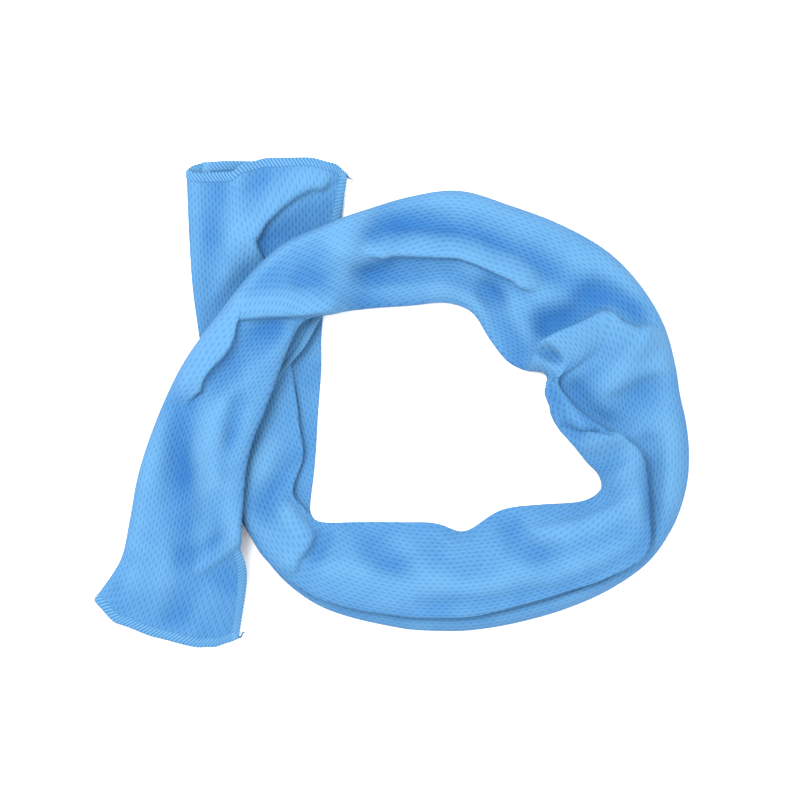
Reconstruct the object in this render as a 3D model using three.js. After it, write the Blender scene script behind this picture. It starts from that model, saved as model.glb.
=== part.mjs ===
import * as THREE from "three";

// Cooling towel, folded lengthwise and laid flat as a loop whose ends cross.
// Lengths are in millimetres and heights are measured up from the floor.
// X runs to the right across the loop, Y runs up the loop, Z points up.

// Driving sizes
const loopWidth = 364;
const wall = 1.2;
const layerGap = 1;
const hemWidth = 5.5;
const hemWall = 1.4;
const seamGap = 0.6;
const crossingClearance = 1.2;
const crossingRamp = 25;
const crossingMargin = 2.5;
const bendRadius = 3;
const lipLift = 4.2;
const droopReach = 16;
const bowReach = 45;
const flapLeast = 1.5;
const tuckReach = 0.8;
const upperStrandFrom = 0.6;
const stationCount = 69;

// Sizes that follow
const pitch = wall + layerGap;
const unit = loopWidth / 100;
const hemReach = hemWidth + seamGap;

// The strip's cross-sections, in order from end A to end B.
// outerX, outerY, innerX, innerY: hundredths of loopWidth from the middle of the loop.
// tuck, pleat: 0 open, 1 folded flat. Shares of the width: left edge, pleat fold, return fold, right edge.
// turn: degrees that the right flap turns over. lip: lift at the return fold.
// droop: how far the right edge is turned down.
// puff: how far the top layers swell, in hundredths of loopWidth.
const stationRows = [
  [-34.5, 38, -7.5, 38, 0, 0, 0.1, 0.8, 0.4, 1, 180, 0, 0, 0.3],
  [-34, 27, -9, 28.5, 0, 0, 0.15, 0.8, 0.4, 1, 180, 0, 0, 0.5],
  [-33.5, 19.5, -10, 22.5, 0, 0.3, 0.35, 0.7, 0.35, 1, 180, 0, 0, 0.4],
  [-32.5, 12, -11, 16, 0, 1, 0.55, 0.66, 0.2, 1, 180, 0, 0, 0.3],
  [-31.5, 5.5, -11.5, 10.5, 0, 1, 0.72, 0.7, 0.2, 0.88, 180, 0, 0, 0.3],
  [-30.5, 0.5, -11.5, 6, 0, 1, 0.78, 0.74, 0.2, 0.6, 180, 0, 0, 0.3],
  [-29.5, -6.5, -12, -1.5, 0, 1, 0.78, 0.8, 0.16, 0.34, 180, 0, 0, 0.4],
  [-27.5, -12.5, -12.5, -8.5, 0, 1, 0.75, 0.84, 0.14, 0.3, 180, 0, 0, 0.7],
  [-25.5, -19, -13, -14, 0, 1, 0.7, 0.78, 0.18, 0.28, 20, 0.6, 0, 0.8],
  [-21.5, -26, -13.5, -18.5, 0, 1, 0.6, 0.96, 0.3, 0.08, -20, 1, 0, 0.8],
  [-17, -31, -12, -20, 0, 1, 0.4, 1, 0.34, 0.12, -20, 1, 0, 0.8],
  [-10.5, -35, -7.5, -20, 0, 1, 0.3, 1, 0.33, 0.13, -20, 1, 0, 1],
  [1.5, -38, 1, -20, 0, 1, 0.3, 1, 0.32, 0.14, -20, 1, 0, 1.1],
  [14, -38.5, 11.5, -21.5, 0, 1, 0.3, 1, 0.35, 0.17, -20, 1, 0, 1.1],
  [21.5, -37, 18, -18, 0, 1, 0.3, 1, 0.35, 0.17, -20, 1, 0, 1.3],
  [30, -34.5, 25.5, -17, 0, 1, 0.3, 1, 0.36, 0.18, -20, 1, 0, 1.4],
  [37.5, -31, 32, -16.5, 0, 1, 0.3, 1, 0.36, 0.15, -20, 1, 0, 1.4],
  [43.5, -26.5, 35, -14.5, 0, 1, 0.3, 1, 0.32, 0.1, -20, 1, 0, 1.4],
  [47.5, -20.5, 34.5, -12, 0, 1, 0.3, 1, 0.58, 0.38, -20, 1, 0, 1.4],
  [49.5, -14.5, 32.5, -10, 0, 1, 0.3, 1, 0.6, 0.42, -20, 1, 0, 1.4],
  [50, -9, 30.5, -7.5, 0, 1, 0.3, 1, 0.56, 0.4, -20, 1, 0, 1.4],
  [49.5, -3.5, 27.5, -4.5, 0, 1, 0.3, 0.98, 0.74, 0.65, -16, 0.8, 0, 1.4],
  [48.5, 1, 26, -1.5, 0, 1, 0.3, 0.96, 0.84, 0.8, 20, 0.3, 0, 1.4],
  [47.5, 7, 24.5, 1.5, 0.1, 0.6, 0.3, 0.92, 0.8, 0.98, 180, 0, 0.3, 1.4],
  [45.5, 13.5, 24, 4, 0.5, 0, 0.3, 0.8, 0.5, 1, 180, 0, 1, 1.4],
  [41.5, 20, 23, 5, 0.9, 0, 0.3, 0.8, 0.4, 1, 180, 0, 1, 1.4],
  [36, 25.5, 19.5, 6.5, 1, 0, 0.3, 0.8, 0.4, 1, 0, 0, 1, 1.4],
  [28, 30, 16, 11, 1, 0, 0.3, 0.8, 0.4, 1, 0, 0, 1, 1.4],
  [20, 33, 13.5, 15, 1, 0, 0.3, 0.8, 0.4, 1, 0, 0, 1, 1.4],
  [11.5, 35.5, 9, 16.5, 1, 0, 0.3, 0.8, 0.4, 1, 0, 0, 1, 1.3],
  [3, 34.5, 3, 16, 1, 0, 0.3, 0.8, 0.4, 1, 0, 0, 1, 1.2],
  [-5, 32, -4.5, 15.5, 1, 0, 0.3, 0.8, 0.4, 1, 0, 0, 1, 1.1],
  [-11.5, 29.5, -10.5, 14.5, 1, 0, 0.3, 0.8, 0.4, 1, 0, 0, 1, 1],
  [-18, 26.5, -14.5, 13.5, 1, 0, 0.3, 0.8, 0.4, 1, 0, 0, 1, 1],
  [-23.5, 21.5, -16.5, 10.5, 1, 0, 0.3, 0.8, 0.4, 1, 0, 0, 1, 1],
  [-29.5, 14, -18.5, 5.5, 1, 0, 0.3, 0.8, 0.4, 1, 0, 0, 1, 1],
  [-35.5, 5.5, -21, -1.5, 1, 0, 0.3, 0.8, 0.4, 1, 0, 0, 1, 1.1],
  [-39.5, -3, -23.5, -8, 1, 0, 0.3, 0.8, 0.4, 1, 0, 0, 1, 1.2],
  [-42.5, -12, -25, -15.5, 1, 0, 0.3, 0.8, 0.4, 1, 0, 0, 0.8, 1.1],
  [-44, -20, -25, -22.5, 0.9, 0, 0.3, 0.8, 0.4, 1, 0, 0, 0.4, 1],
  [-45.5, -26.5, -24.5, -29, 0.15, 0, 0.2, 0.8, 0.4, 1, 0, 0, 0, 0.8],
  [-50, -33.5, -25.5, -38.5, 0, 0, 0.2, 0.8, 0.4, 1, 0, 0, 0, 0.4],
];
const stationColumns = [
  "outerX",
  "outerY",
  "innerX",
  "innerY",
  "tuck",
  "pleat",
  "leftEdge",
  "foldIn",
  "foldOut",
  "rightEdge",
  "turn",
  "lip",
  "droop",
  "puff",
];

// How far each end's hem bows out past its end section, in hundredths of loopWidth.
// share of the width from the outer side, then the top layer's bow and the under layers' bow.
const endBowA = [
  [0, 0.2, 1.2],
  [0.2, 0.2, 2.1],
  [0.28, 0.6, 2.2],
  [0.36, 1.9, 2.2],
  [0.5, 2.7, 2.2],
  [0.75, 2.8, 2],
  [0.9, 1.9, 1.4],
  [1, 0, 0],
];
const endBowB = [
  [0, 0, -0.4],
  [0.2, 2.6, 2.2],
  [0.46, 3.5, 3],
  [0.73, 3.8, 3.2],
  [0.85, 3.2, 2.6],
  [0.95, 1.9, 1.2],
  [1, 1, 0.6],
];

// Folds, dents and ridges of the top layer. Each lies between two shares of the strip's length.
// The raised side is on the left of the line of points, walking along it.
// Columns: name, from, to, rise, width of the steep side, width of the gentle side, points.
// All but the two shares are in hundredths of loopWidth.
const foldRows = [
  ["end A ridge", 0, 0.1, 0.4, 4, 3.5, [[-25.5, 39], [-26.5, 29], [-28, 17]]],
  ["end A pleat", 0, 0.1, 0.8, 1, 6, [[-21, 24], [-22.5, 26.5], [-21, 29.5], [-18.5, 32], [-16, 34]]],
  ["lower notch", 0.26, 0.45, -0.5, 2.5, 2.5, [[6.5, -20.5], [8, -23], [10.5, -24.5], [14, -24]]],
  ["lower dent 1", 0.26, 0.45, -0.4, 3, 3, [[-2.5, -23], [-3, -27]]],
  ["lower dent 2", 0.26, 0.45, -0.4, 3, 3, [[18, -21.5], [18.5, -26.5]]],
  ["lower ridge", 0.26, 0.47, 0.4, 2.5, 3.5, [[35, -30], [28, -31], [18, -32], [1.5, -33.5]]],
  ["corner groove", 0.36, 0.5, -0.7, 2, 2.5, [[38, -17], [35, -18], [31.5, -19.5], [23, -21.5]]],
  ["corner crease", 0.42, 0.54, 0.5, 1.5, 2.5, [[35.5, -14], [39, -10.5], [41, -8]]],
  ["corner fold", 0.46, 0.6, 0.8, 1.5, 5.5, [[35.5, -5], [32.5, -4], [29.5, -1.5], [26.5, 3.5]]],
  ["right ridge", 0.45, 0.58, 0.4, 2.5, 3, [[47, -16], [47, -5], [46, 8]]],
  ["shoulder ridge", 0.54, 0.62, 0.5, 3.5, 3.5, [[44, 12], [41.5, 8.5], [38.5, 5.5]]],
  ["shoulder lip", 0.54, 0.65, 0.8, 1.5, 6, [[24, 10], [26.5, 11.5], [30, 13], [33, 14.5], [37, 15.5]]],
  ["shoulder dent", 0.56, 0.65, -0.7, 3, 3, [[37, 14.5], [41.5, 14]]],
  ["top lip", 0.58, 0.77, 1, 1, 7, [[-8.5, 23.5], [0, 24], [11, 24], [14, 23], [20.5, 20]]],
  ["top valley", 0.58, 0.78, -0.8, 4, 4, [[-5, 30], [5, 30], [15, 27.5], [23, 24], [35, 18.5]]],
  ["top inner valley", 0.58, 0.68, -0.5, 2, 2, [[16.5, 19], [18, 15], [20.5, 8.5]]],
  ["crossing lip", 0.7, 0.9, 0.8, 1.5, 5.5, [
    [-32, 3], [-30.5, 5.5], [-27.5, 8.5], [-26, 10.5],
    [-25.5, 13.5], [-20.5, 14], [-11.5, 14.5],
  ]],
  ["lower valley", 0.85, 0.96, -0.5, 3, 3, [[-37, -4], [-35.5, -13]]],
  ["lower ridge B", 0.85, 1, 0.5, 3, 3, [[-29.5, -4.5], [-31, -20], [-33, -27]]],
  ["end B wrinkle", 0.92, 1, 0.5, 1.5, 2.5, [[-29.5, -27.5], [-25.5, -24]]],
];

// Numbers
const clamp = (value) => Math.min(1, Math.max(0, value));
const mix = (a, b, t) => a + (b - a) * t;
const ease = (value) => clamp(value) * clamp(value) * (3 - 2 * clamp(value));

// The value of a short table at a share, between its rows.
function tableAt(rows, share, column) {
  let k = 1;
  while (k < rows.length - 1 && rows[k][0] < share) k += 1;
  const t = ease((share - rows[k - 1][0]) / (rows[k][0] - rows[k - 1][0]));
  return mix(rows[k - 1][column], rows[k][column], t);
}

// The sections as records, with their distances along the middle of the strip.
function readStations() {
  const list = stationRows.map((row) => {
    const station = {};
    stationColumns.forEach((name, k) => {
      station[name] = k < 4 ? row[k] * unit : row[k];
    });
    return station;
  });
  list[0].along = 0;
  for (let k = 1; k < list.length; k += 1) {
    const stepX = (list[k].outerX + list[k].innerX - list[k - 1].outerX - list[k - 1].innerX) / 2;
    const stepY = (list[k].outerY + list[k].innerY - list[k - 1].outerY - list[k - 1].innerY) / 2;
    list[k].along = list[k - 1].along + Math.hypot(stepX, stepY);
  }
  return list;
}
const stations = readStations();
const stripLength = stations[stations.length - 1].along;

// Slope of a column at a section, for smooth curves through the sections.
function slopeAt(k, name) {
  const before = stations[Math.max(0, k - 1)];
  const after = stations[Math.min(stations.length - 1, k + 1)];
  return (after[name] - before[name]) / (after.along - before.along);
}

// The section at a distance along the strip.
function stationAt(along) {
  let k = 1;
  while (k < stations.length - 1 && stations[k].along < along) k += 1;
  const a = stations[k - 1];
  const b = stations[k];
  const span = b.along - a.along;
  const t = (along - a.along) / span;
  const found = { along, share: along / stripLength };
  stationColumns.forEach((name, column) => {
    if (column > 3) {
      found[name] = mix(a[name], b[name], ease(t));
      return;
    }
    const t2 = t * t;
    const t3 = t2 * t;
    found[name] =
      (2 * t3 - 3 * t2 + 1) * a[name] +
      (t3 - 2 * t2 + t) * span * slopeAt(k - 1, name) +
      (3 * t2 - 2 * t3) * b[name] +
      (t3 - t2) * span * slopeAt(k, name);
  });
  found.width = Math.hypot(found.innerX - found.outerX, found.innerY - found.outerY);
  found.stepX = (found.innerX - found.outerX) / found.width;
  found.stepY = (found.innerY - found.outerY) / found.width;
  return found;
}

// Height of the strand that lies underneath at the crossing.
const underHeight = wall * 0.5 + pitch * 4 + wall * 0.5 + hemWall;

// Distance of a plan point outside the under strand, below zero where the point is over it.
function distanceOutsideUnderStrand(x, y) {
  let least = Infinity;
  for (let k = 1; k < 10; k += 1) {
    const a = stations[k - 1];
    const b = stations[k];
    const ax = (a.outerX + a.innerX) / 2;
    const ay = (a.outerY + a.innerY) / 2;
    const bx = (b.outerX + b.innerX) / 2;
    const by = (b.outerY + b.innerY) / 2;
    const dx = bx - ax;
    const dy = by - ay;
    const t = clamp(((x - ax) * dx + (y - ay) * dy) / (dx * dx + dy * dy));
    const halfA = Math.hypot(a.innerX - a.outerX, a.innerY - a.outerY) / 2;
    const halfB = Math.hypot(b.innerX - b.outerX, b.innerY - b.outerY) / 2;
    const reach = mix(halfA, halfB, t);
    least = Math.min(least, Math.hypot(x - ax - dx * t, y - ay - dy * t) - reach);
  }
  return least;
}

// How far the upper strand is carried above the floor at a plan point.
function crossingLift(x, y, share) {
  if (share < upperStrandFrom) return 0;
  const outside = distanceOutsideUnderStrand(x, y) - crossingMargin;
  return (underHeight + crossingClearance) * (1 - ease(outside / crossingRamp));
}

// Nearest distance to a line of points, positive on its left.
function sidedDistance(x, y, points) {
  let best = Infinity;
  let side = 1;
  for (let k = 1; k < points.length; k += 1) {
    const ax = points[k - 1][0] * unit;
    const ay = points[k - 1][1] * unit;
    const dx = points[k][0] * unit - ax;
    const dy = points[k][1] * unit - ay;
    const t = clamp(((x - ax) * dx + (y - ay) * dy) / (dx * dx + dy * dy));
    const distance = Math.hypot(x - ax - dx * t, y - ay - dy * t);
    if (distance < best) {
      best = distance;
      side = dx * (y - ay) - dy * (x - ax) >= 0 ? 1 : -1;
    }
  }
  return best * side;
}

// Height of the folds at a plan point of the top layer.
function foldRelief(x, y, share) {
  let height = 0;
  foldRows.forEach(([, from, to, rise, drop, back, points]) => {
    if (share < from || share > to) return;
    const distance = sidedDistance(x, y, points) / unit;
    const reach = distance >= 0 ? distance / back : -distance / drop;
    height += rise * (1 - ease(reach));
  });
  return height * unit;
}

// Points of the cross-section from the left edge to the right edge.
// across: distance from the outer side. level: height above the bottom layer. top: 1 on visible layers.
function sectionPoints(station) {
  const { width, tuck, leftEdge, droop } = station;
  const points = [];
  const half = pitch / 2;
  const inset = droop * (hemReach + 1);
  const leftX = leftEdge * width + hemReach;
  const innerX = width - inset - half;
  const tuckIn = width - inset;
  const tuckOut = tuckIn - tuckReach * width;
  const nearX = tuckOut + half + hemReach;
  const farX = width * 0.66;
  const folded = [
    [nearX, 3],
    [farX, 3],
    [tuckIn - half, 3],
    [tuckIn, 2.5],
    [tuckIn - half, 2],
    [farX, 2],
    [nearX, 2],
    [tuckOut + half, 2],
    [tuckOut, 1.5],
    [tuckOut + half, 1],
    [nearX, 1],
    [farX, 1],
    [innerX, 1],
  ];
  const tuckRise = clamp(tuck / 0.2);
  folded.forEach(([x, level], k) => {
    const flatX = mix(leftX, innerX, k / (folded.length - 1));
    points.push({ across: mix(flatX, x, tuck), level: mix(1, level, tuckRise) * pitch, top: 0 });
  });
  points.push({ across: innerX + half, level: pitch / 2, top: 0 });
  points.push({ across: innerX, level: 0, top: 0 });
  const stacked = ease(tuck / 0.1);
  points.push({ across: mix(farX, points[11].across, stacked), level: 0, top: 0 });
  points.push({ across: mix(width * 0.34, points[10].across, stacked), level: 0, top: 0 });
  points.push({ across: bendRadius, level: 0, top: 0 });
  const topLevel = (2 + 2 * tuckRise) * pitch;
  points.push({ across: bendRadius * 0.13, level: topLevel * 0.25, top: 0 });
  points.push({ across: bendRadius * 0.13, level: topLevel * 0.75, top: 0 });
  topPoints(station, topLevel).forEach((point) => points.push(point));
  return points;
}

// The layers above the outer roll: one flat layer, or a layer, its return and a flap.
function topPoints(station, topLevel) {
  const { width, pleat, foldIn, foldOut, rightEdge, turn, lip, droop } = station;
  const half = pitch / 2;
  const folded = [];
  const lowerEnd = foldIn * width - half;
  for (let k = 0; k <= 6; k += 1) {
    const across = mix(bendRadius, lowerEnd, k / 6);
    folded.push([across, 2, 1 - ease((across / width - foldOut + 0.12) / 0.1)]);
  }
  folded.push([foldIn * width, 2.5, 0]);
  const returnStart = foldOut * width;
  const covered = ease((turn - 90) / 60);
  for (let k = 0; k <= 4; k += 1) {
    const across = mix(lowerEnd, returnStart, k / 4);
    const rise = (lip * lipLift * ease(k / 3)) / pitch;
    folded.push([across, 3 + rise, (1 - covered) * ease(k / 1.5)]);
  }
  const angle = (turn * Math.PI) / 180;
  const baseLevel = 3 + (lip * lipLift) / pitch;
  const flapLength = Math.max(flapLeast, Math.abs(rightEdge - foldOut) * width - hemReach);
  const bend = (share) => {
    const part = Math.abs(angle) * share;
    return [
      returnStart - half * Math.sin(part),
      baseLevel + (Math.sign(angle) * half * (1 - Math.cos(part))) / pitch,
    ];
  };
  folded.push([...bend(0.5), 1]);
  folded.push([...bend(1), 1]);
  for (let k = 1; k <= 4; k += 1) {
    const [x, level] = bend(1);
    const run = (flapLength * k) / 4;
    folded.push([x - run * Math.cos(angle), level + (run * Math.sin(angle)) / pitch, 1]);
  }
  const last = folded.length - 1;
  const flatEnd = rightEdge * width - hemReach;
  const pleatRise = clamp(pleat / 0.2);
  return folded.map(([x, level, shown], k) => {
    const flatX = mix(bendRadius, flatEnd, k / last);
    const fall = droop * topLevel * 0.45 * ease(1 - (width - flatX) / droopReach);
    const high = topLevel + (level - 2) * pitch;
    return {
      across: mix(flatX, x, pleat),
      level: mix(topLevel - fall, high, Math.max(pleat, pleatRise * (1 - ease(fall)))),
      top: mix(1, shown, pleat),
      upper: 1,
    };
  });
}

// Continues the section past one of its ends by a length.
function extendSection(points, atStart, distance) {
  const a = atStart ? points[0] : points[points.length - 1];
  const b = atStart ? points[1] : points[points.length - 2];
  const run = Math.hypot(a.across - b.across, a.level - b.level);
  return {
    across: a.across + ((a.across - b.across) / run) * distance,
    level: a.level + ((a.level - b.level) / run) * distance,
    top: a.top,
    upper: a.upper,
  };
}

// A section point in space, on the middle surface of a sheet of the given thickness.
function placePoint(station, point, thickness) {
  const share = point.across / station.width;
  const column = point.upper ? 1 : 2;
  const nearA = ease(1 - station.along / bowReach);
  const nearB = ease(1 - (stripLength - station.along) / bowReach);
  const bowA = tableAt(endBowA, clamp(share), column) * nearA;
  const bowB = tableAt(endBowB, clamp(share), column) * nearB;
  const bow = (bowB - bowA) * unit;
  const x = station.outerX + station.stepX * point.across + station.stepY * bow;
  const y = station.outerY + station.stepY * point.across - station.stepX * bow;
  const pillow = clamp(1 - (2 * share - 1) ** 2) ** 0.6;
  const puff = point.upper ? station.puff * unit * pillow : 0;
  const relief = point.top ? foldRelief(x, y, station.share) * point.top * Math.min(1, pillow * 1.6) : 0;
  const rise = point.upper ? Math.max(0, puff + relief) : 0;
  return new THREE.Vector3(x, y, thickness / 2 + point.level + rise + crossingLift(x, y, station.share));
}

// A closed sheet of even thickness round a grid of middle points. Each square is split along its higher
// diagonal, so that layers lying on one another are split alike.
function thickSheet(grid, thickness, name, material) {
  const rows = grid.length;
  const columns = grid[0].length;
  const positions = [];
  const normal = new THREE.Vector3();
  const alongStep = new THREE.Vector3();
  const acrossStep = new THREE.Vector3();
  [1, -1].forEach((side) => {
    for (let i = 0; i < rows; i += 1) {
      for (let j = 0; j < columns; j += 1) {
        alongStep.subVectors(grid[Math.min(rows - 1, i + 1)][j], grid[Math.max(0, i - 1)][j]);
        acrossStep.subVectors(grid[i][Math.min(columns - 1, j + 1)], grid[i][Math.max(0, j - 1)]);
        normal.crossVectors(acrossStep, alongStep).normalize();
        const point = grid[i][j].clone().addScaledVector(normal, (side * thickness) / 2);
        positions.push(point.x, point.y, Math.max(0, point.z));
      }
    }
  });
  const at = (side, i, j) => side * rows * columns + i * columns + j;
  const index = [];
  const quad = (a, b, c, d) => {
    const first = positions[a * 3 + 2] + positions[c * 3 + 2];
    const second = positions[b * 3 + 2] + positions[d * 3 + 2];
    if (first >= second) index.push(a, b, c, a, c, d);
    else index.push(a, b, d, b, c, d);
  };
  for (let i = 0; i < rows - 1; i += 1) {
    for (let j = 0; j < columns - 1; j += 1) {
      quad(at(0, i, j), at(0, i, j + 1), at(0, i + 1, j + 1), at(0, i + 1, j));
      quad(at(1, i, j), at(1, i + 1, j), at(1, i + 1, j + 1), at(1, i, j + 1));
    }
    quad(at(0, i, 0), at(0, i + 1, 0), at(1, i + 1, 0), at(1, i, 0));
    const last = columns - 1;
    quad(at(0, i, last), at(1, i, last), at(1, i + 1, last), at(0, i + 1, last));
  }
  for (let j = 0; j < columns - 1; j += 1) {
    quad(at(0, 0, j), at(1, 0, j), at(1, 0, j + 1), at(0, 0, j + 1));
    quad(at(0, rows - 1, j), at(0, rows - 1, j + 1), at(1, rows - 1, j + 1), at(1, rows - 1, j));
  }
  const geometry = new THREE.BufferGeometry();
  geometry.setAttribute("position", new THREE.Float32BufferAttribute(positions, 3));
  geometry.setIndex(index);
  geometry.computeVertexNormals();
  const mesh = new THREE.Mesh(geometry, material);
  mesh.name = name;
  return mesh;
}

// Distances along the strip for the cloth's rows of points.
function clothDistances() {
  const list = [];
  for (let k = 0; k < stationCount; k += 1) {
    list.push(mix(hemReach, stripLength - hemReach, k / (stationCount - 1)));
  }
  return list;
}

function clothMesh(material) {
  const grid = clothDistances().map((along) => {
    const station = stationAt(along);
    return sectionPoints(station).map((point) => placePoint(station, point, wall));
  });
  return thickSheet(grid, wall, "towel_cloth", material);
}

// The overlocked band along one long edge.
function sideHem(name, atStart, material) {
  const grid = clothDistances().map((along) => {
    const station = stationAt(along);
    const points = sectionPoints(station);
    const near = extendSection(points, atStart, seamGap);
    const far = extendSection(points, atStart, hemReach);
    const pair = atStart ? [far, near] : [near, far];
    return pair.map((point) => placePoint(station, point, hemWall));
  });
  return thickSheet(grid, hemWall, name, material);
}

// The overlocked band across one end, over the cloth and both side bands.
function endHem(name, from, to, material) {
  const grid = [from, to].map((along) => {
    const station = stationAt(along);
    const points = sectionPoints(station);
    const left = extendSection(points, true, hemReach);
    const right = extendSection(points, false, hemReach);
    return [left, ...points, right].map((point) => placePoint(station, point, hemWall));
  });
  return thickSheet(grid, hemWall, name, material);
}

const clothMaterial = new THREE.MeshStandardMaterial({ color: 0x6cafea, roughness: 0.9, metalness: 0 });
const threadMaterial = new THREE.MeshStandardMaterial({ color: 0x77b6ec, roughness: 0.8, metalness: 0 });

const group = new THREE.Group();
group.name = "cooling_towel";
group.add(clothMesh(clothMaterial));
group.add(sideHem("side_hem_left", true, threadMaterial));
group.add(sideHem("side_hem_right", false, threadMaterial));
group.add(endHem("end_hem_a", 0, hemWidth, threadMaterial));
group.add(endHem("end_hem_b", stripLength - hemWidth, stripLength, threadMaterial));

// The middle of the footprint goes to the origin.
const middle = new THREE.Box3().setFromObject(group).getCenter(new THREE.Vector3());
group.children.forEach((mesh) => mesh.geometry.translate(-middle.x, -middle.y, 0));

export default group;
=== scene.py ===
import math

import bmesh
import bpy
import numpy as np
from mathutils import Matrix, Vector, noise


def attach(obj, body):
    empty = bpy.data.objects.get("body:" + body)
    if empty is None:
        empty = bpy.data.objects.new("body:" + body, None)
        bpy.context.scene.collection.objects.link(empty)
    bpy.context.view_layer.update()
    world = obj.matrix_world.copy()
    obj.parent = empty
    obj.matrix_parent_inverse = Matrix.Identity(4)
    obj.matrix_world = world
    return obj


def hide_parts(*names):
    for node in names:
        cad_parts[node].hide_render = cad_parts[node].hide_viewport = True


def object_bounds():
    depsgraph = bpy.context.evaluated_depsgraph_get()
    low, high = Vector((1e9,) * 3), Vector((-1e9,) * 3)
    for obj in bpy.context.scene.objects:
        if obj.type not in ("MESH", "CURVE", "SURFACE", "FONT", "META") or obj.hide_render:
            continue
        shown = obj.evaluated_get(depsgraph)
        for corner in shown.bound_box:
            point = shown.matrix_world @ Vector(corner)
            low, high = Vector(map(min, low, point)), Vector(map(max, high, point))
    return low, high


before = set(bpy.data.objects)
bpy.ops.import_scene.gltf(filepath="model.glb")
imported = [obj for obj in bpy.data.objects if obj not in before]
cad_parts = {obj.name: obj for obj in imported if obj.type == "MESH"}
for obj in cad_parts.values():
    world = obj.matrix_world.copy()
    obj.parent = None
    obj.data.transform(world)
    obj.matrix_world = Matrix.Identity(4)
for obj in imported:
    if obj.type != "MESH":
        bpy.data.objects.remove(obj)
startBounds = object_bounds()

# A cooling towel folded lengthwise and laid flat as a loop whose ends cross.
# Lengths are in metres unless a name says otherwise. X runs right, Y up the loop, Z up from the floor.
lowCorner = Vector(startBounds[0])
highCorner = Vector(startBounds[1])
loopWidth = highCorner.x - lowCorner.x
unit = loopWidth / 100  # the tables' unit, a hundredth of loopWidth
patternScale = 10  # units of the pattern map to a metre of cloth

# pitch: height from layer to layer. tuckReach, upperStrandFrom and foldFade are shares, of the width
# and of the strip's length. underStations: how many stations the strand under the crossing has.
# pillowPower: how boxy the swell is across the strip. reliefReach: how soon folds reach their full
# height, in from the strip's sides.
cloth = {
    "thickness": 0.0008,
    "pitch": 0.0021,
    "bendRadius": 0.0032,
    "lipLift": 0.0055,
    "tuckReach": 0.8,
    "hemWidth": 0.0055,
    "hemInset": 0.0065,
    "edgeRoll": 0.0024,
    "flapLeast": 0.0015,
    "stations": 436,
    "sectionSmoothing": 3,
    "stationSmoothing": 8,
    "surfaceSmoothing": 1,
    "crossingRamp": 0.024,
    "crossingClearance": 0.0014,
    "crossingMargin": 0.0022,
    "underStations": 10,
    "underLayers": 4,
    "upperStrandFrom": 0.6,
    "foldFade": 0.012,
    "pillowPower": 0.6,
    "reliefReach": 1.6,
}

# Where the control points of a cross-section lie. farPoint, nearPoint, coverBefore and coverFade are
# shares of the width, rollInset of bendRadius, underRoll of edgeRoll. apartBy: the tuck or pleat by
# which the layers lie fully apart.
section = {
    "farPoint": 0.66,
    "nearPoint": 0.34,
    "rollInset": 0.13,
    "rollSteps": 3,
    "underRoll": 2.1,
    "fallFade": 0.001,
    "apartBy": 0.2,
    "coverBefore": 0.12,
    "coverFade": 0.1,
}

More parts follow.
